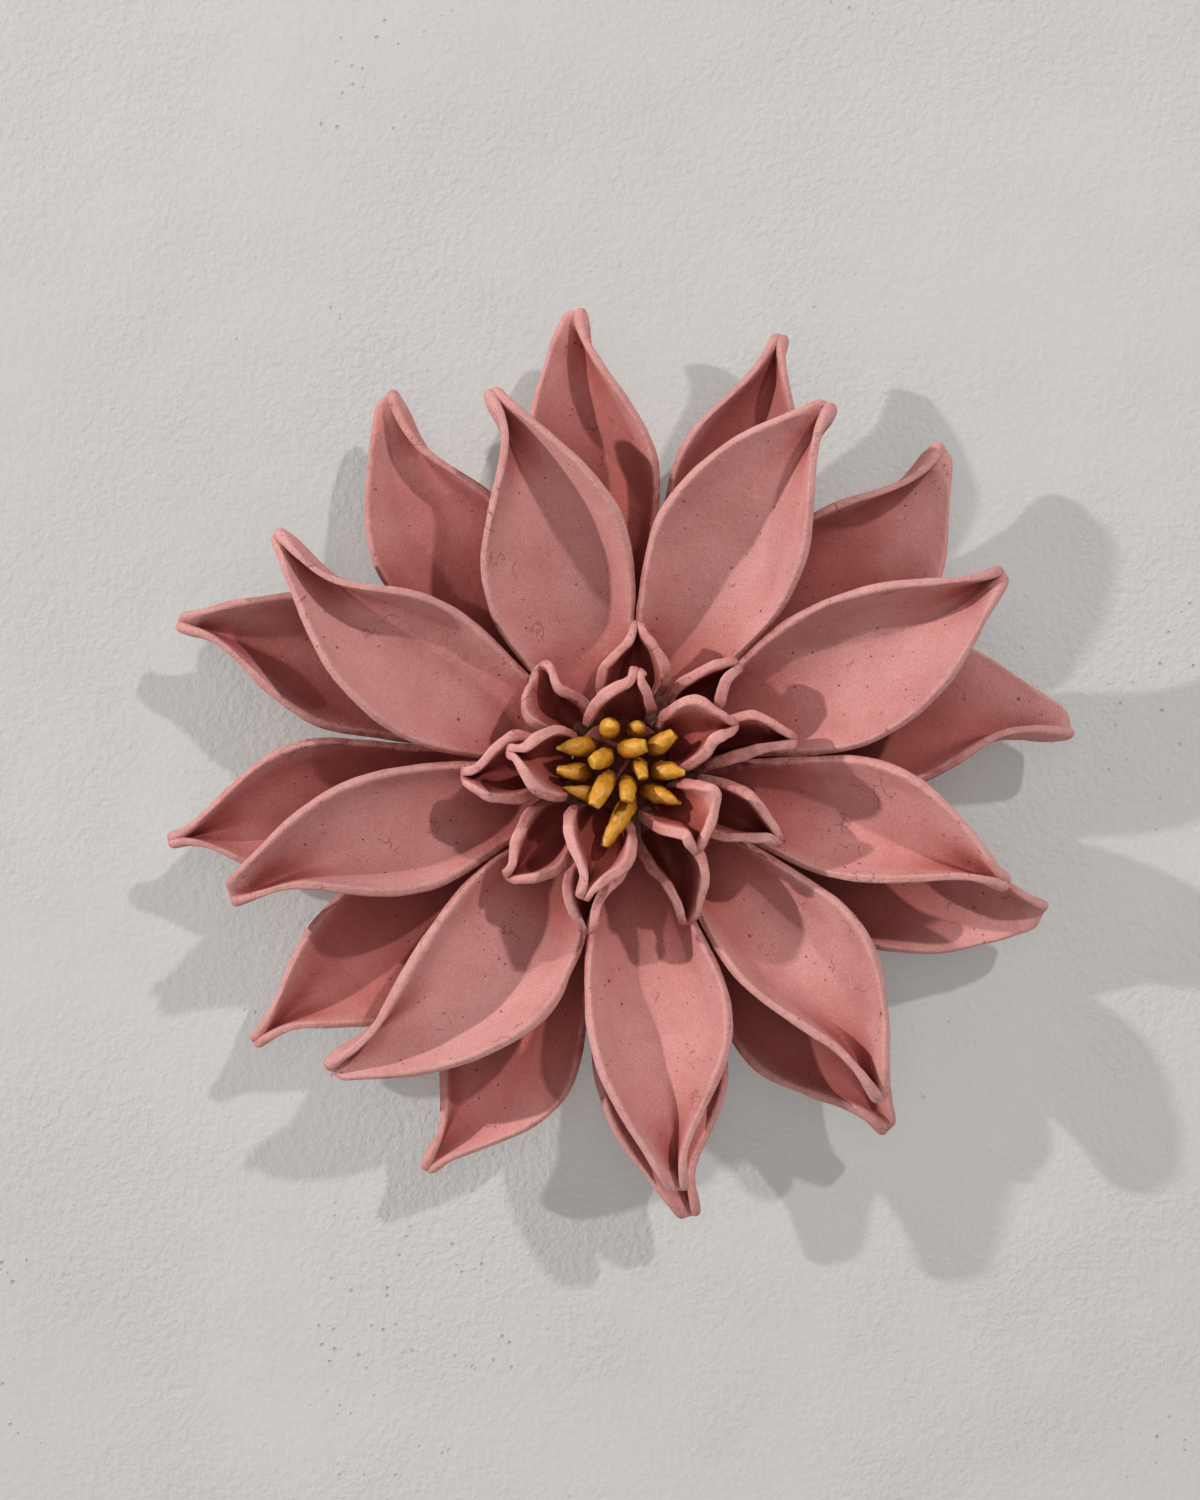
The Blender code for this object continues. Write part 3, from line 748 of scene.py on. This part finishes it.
def crumb_places():
    """Points on the petals, found by looking straight at the flower at random places round the collar."""
    chance = random.Random(CRUMB_SEED)
    places = []
    for _ in range(CRUMB_COUNT):
        angle = chance.uniform(0, 2 * math.pi)
        radius = chance.uniform(CRUMB_NEAR, CRUMB_FAR)
        start = Vector((radius * math.cos(angle), LOOK_FROM, radius * math.sin(angle)))
        hit = flower_faces.ray_cast(start, Vector((0, 1, 0)))[0]
        if hit:
            places.append(hit)
    return places


points = bpy.data.meshes.new("crumb_points")
points.from_pydata(crumb_places(), [], [])
crumb_settings = {
    "Smallest": CRUMB_SMALL,
    "Largest": CRUMB_LARGE,
    "Seed": CRUMB_SEED,
    "Clay": front_material,
}
crumbs = shaped_mesh("clay_crumbs", points, crumb_group(), crumb_settings)
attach(crumbs, "root")

# Wall and floor
# The flower hangs on a plain pale plastered wall, over a plain pale floor. Neither is part of it.
# From behind, the wall can be looked through, and light passes it behind the hub, so that the back of the
# flower shows and is lit.

WALL_SIZE = 3.0
WALL_BEHIND = 0.0004
FLOOR_BELOW = 0.75
OPEN_RADIUS = 0.042
PLASTER = (0.405, 0.40, 0.39, 1.0)
PIT_SHADE = (0.16, 0.15, 0.14, 1.0)
PLASTER_ROUGHNESS = 0.85
PLASTER_SHEEN = 0.2
GLOW_COLOUR = (1.0, 0.995, 0.98, 1.0)
GLOW = 0.14


def stage_plane(name, corners, material):
    mesh = bpy.data.meshes.new(name)
    mesh.from_pydata(corners, [], [(0, 1, 2, 3)])
    mesh.materials.append(material)
    plane = bpy.data.objects.new(name, mesh)
    bpy.context.scene.collection.objects.link(plane)


def plaster_material():
    """Matte plaster with trowel waves, grit and pits painted dark as painted shade, which glows faintly, as
    if in a bright room.
    """
    material = bpy.data.materials.new("pale_plaster")
    material.use_nodes = True
    tree = material.node_tree
    shader = tree.nodes["Principled BSDF"]
    place = node(tree, "ShaderNodeTexCoord").outputs["Object"]

    # Pits in some stretches of the wall, painted dark as painted shade, over a cloudy colour
    cells = node(tree, "ShaderNodeTexVoronoi", {"Vector": place, "Scale": 170.0}).outputs
    pitted = ramp(tree, noise(tree, place, scale=7.0, detail=3.0, roughness=0.6), start=0.54, end=0.66)
    pits = times(tree, ramp(tree, cells["Distance"], start=0.05, end=0.16, low=1.0, high=0.0), pitted)
    cloudy = noise(tree, place, scale=5.0, detail=4.0, roughness=0.6)
    colour = lit(tree, PLASTER, ramp(tree, cloudy, start=0.3, end=0.7, low=0.96, high=1.03))
    colour = tinted(tree, colour, PIT_SHADE, pits, share=0.45)

    # Heights in metres: grit that comes and goes, trowel waves, and the pits
    gritty = noise(tree, place, scale=9.0, detail=2.0, roughness=0.6)
    gritty = ramp(tree, gritty, start=0.35, end=0.65, low=0.0005, high=0.0013)
    height = times(tree, noise(tree, place, scale=330.0, detail=6.0, roughness=0.6), gritty)
    waves = noise(tree, place, scale=45.0, detail=4.0, roughness=0.6)
    height = plus(tree, height, times(tree, waves, 0.0007))
    height = maths(tree, "SUBTRACT", height, times(tree, pits, 0.0008))
    relief = node(tree, "ShaderNodeBump", {"Strength": 1.0, "Distance": 1.0, "Height": height})
    tree.links.new(colour, shader.inputs["Base Color"])
    tree.links.new(relief.outputs["Normal"], shader.inputs["Normal"])
    shader.inputs["Roughness"].default_value = PLASTER_ROUGHNESS
    shader.inputs["Specular IOR Level"].default_value = PLASTER_SHEEN
    shader.inputs["Emission Color"].default_value = GLOW_COLOUR
    shader.inputs["Emission Strength"].default_value = GLOW

    # Clear from behind, and clear to all but the camera's own rays behind the hub
    clear = node(tree, "ShaderNodeBsdfTransparent")
    behind = node(tree, "ShaderNodeNewGeometry").outputs["Backfacing"]
    from_hub = node(tree, "ShaderNodeVectorMath", {0: place}, operation="LENGTH").outputs["Value"]
    seen = node(tree, "ShaderNodeLightPath").outputs["Is Camera Ray"]
    under_hub = maths(tree, "LESS_THAN", plus(tree, from_hub, seen), OPEN_RADIUS)
    see_through = maths(tree, "MAXIMUM", behind, under_hub)
    either = node(tree, "ShaderNodeMixShader", {0: see_through, 1: shader.outputs[0], 2: clear.outputs[0]})
    tree.links.new(either.outputs[0], tree.nodes["Material Output"].inputs["Surface"])
    return material


plaster = plaster_material()
half = WALL_SIZE / 2
stage_plane(
    "wall",
    [
        (-half, WALL_BEHIND, -FLOOR_BELOW),
        (half, WALL_BEHIND, -FLOOR_BELOW),
        (half, WALL_BEHIND, half),
        (-half, WALL_BEHIND, half),
    ],
    plaster,
)
stage_plane(
    "floor",
    [
        (-half, WALL_BEHIND, -FLOOR_BELOW),
        (-half, -WALL_SIZE, -FLOOR_BELOW),
        (half, -WALL_SIZE, -FLOOR_BELOW),
        (half, WALL_BEHIND, -FLOOR_BELOW),
    ],
    plaster,
)

# Camera and lights
# The camera looks straight at the wall from arm's length. A low lamp at the upper left throws the long
# shadows, a second one at the upper right throws the short ones, and a wide panel in front fills them.
# Another panel lights the flower's back, and the dim room shows to the camera as a pale backdrop.

CAMERA_PLACE = (-0.008, -0.75, 0.006)
HALF_VIEW_HEIGHT = 0.300
NEAREST_SEEN = 0.01
LAMP_COLOUR = (1.0, 0.985, 0.97)
PANEL_COLOUR = (1.0, 0.95, 0.92)
WHITE = (1.0, 1.0, 1.0)
LAMPS = {
    "key_lamp": {"place": (-3.0, -1.42, 1.15), "size": 0.09, "watts": 104.0, "colour": LAMP_COLOUR},
    "second_lamp": {"place": (1.35, -1.9, 1.7), "size": 0.11, "watts": 44.0, "colour": LAMP_COLOUR},
    "front_panel": {"place": (0.0, -1.9, 0.3), "size": 1.5, "watts": 8.0, "colour": PANEL_COLOUR},
    "back_panel": {"place": (0.0, 1.9, 0.4), "size": 1.0, "watts": 14.0, "colour": WHITE},
}
ROOM_COLOUR = (1.0, 0.96, 0.93, 1.0)
ROOM_LIGHT = 0.11
BACKDROP_EXTRA = 0.55

camera = bpy.data.objects.new("camera", bpy.data.cameras.new("camera"))
camera.location = CAMERA_PLACE
camera.rotation_euler = (math.radians(90), 0, 0)
camera.data.sensor_fit = "VERTICAL"
camera.data.angle_y = 2 * math.atan(HALF_VIEW_HEIGHT / -CAMERA_PLACE[1])
camera.data.clip_start = NEAREST_SEEN
bpy.context.scene.collection.objects.link(camera)
bpy.context.scene.camera = camera


def add_lamp(name, place, size, watts, colour):
    """A round soft lamp that faces the flower."""
    lamp = bpy.data.lights.new(name, "AREA")
    lamp.shape = "DISK"
    lamp.size = size
    lamp.energy = watts
    lamp.color = colour
    holder = bpy.data.objects.new(name, lamp)
    holder.location = place
    holder.rotation_euler = (-Vector(place)).to_track_quat("-Z", "Y").to_euler()
    bpy.context.scene.collection.objects.link(holder)


for lamp_name, lamp_facts in LAMPS.items():
    add_lamp(lamp_name, **lamp_facts)

world = bpy.data.worlds.new("studio")
world.use_nodes = True
room = world.node_tree
backdrop = room.nodes["Background"]
backdrop.inputs["Color"].default_value = ROOM_COLOUR
seen = node(room, "ShaderNodeLightPath").outputs["Is Camera Ray"]
strength = plus(room, times(room, seen, BACKDROP_EXTRA), ROOM_LIGHT)
room.links.new(strength, backdrop.inputs["Strength"])
bpy.context.scene.world = world
bpy.context.scene.view_settings.view_transform = "Standard"
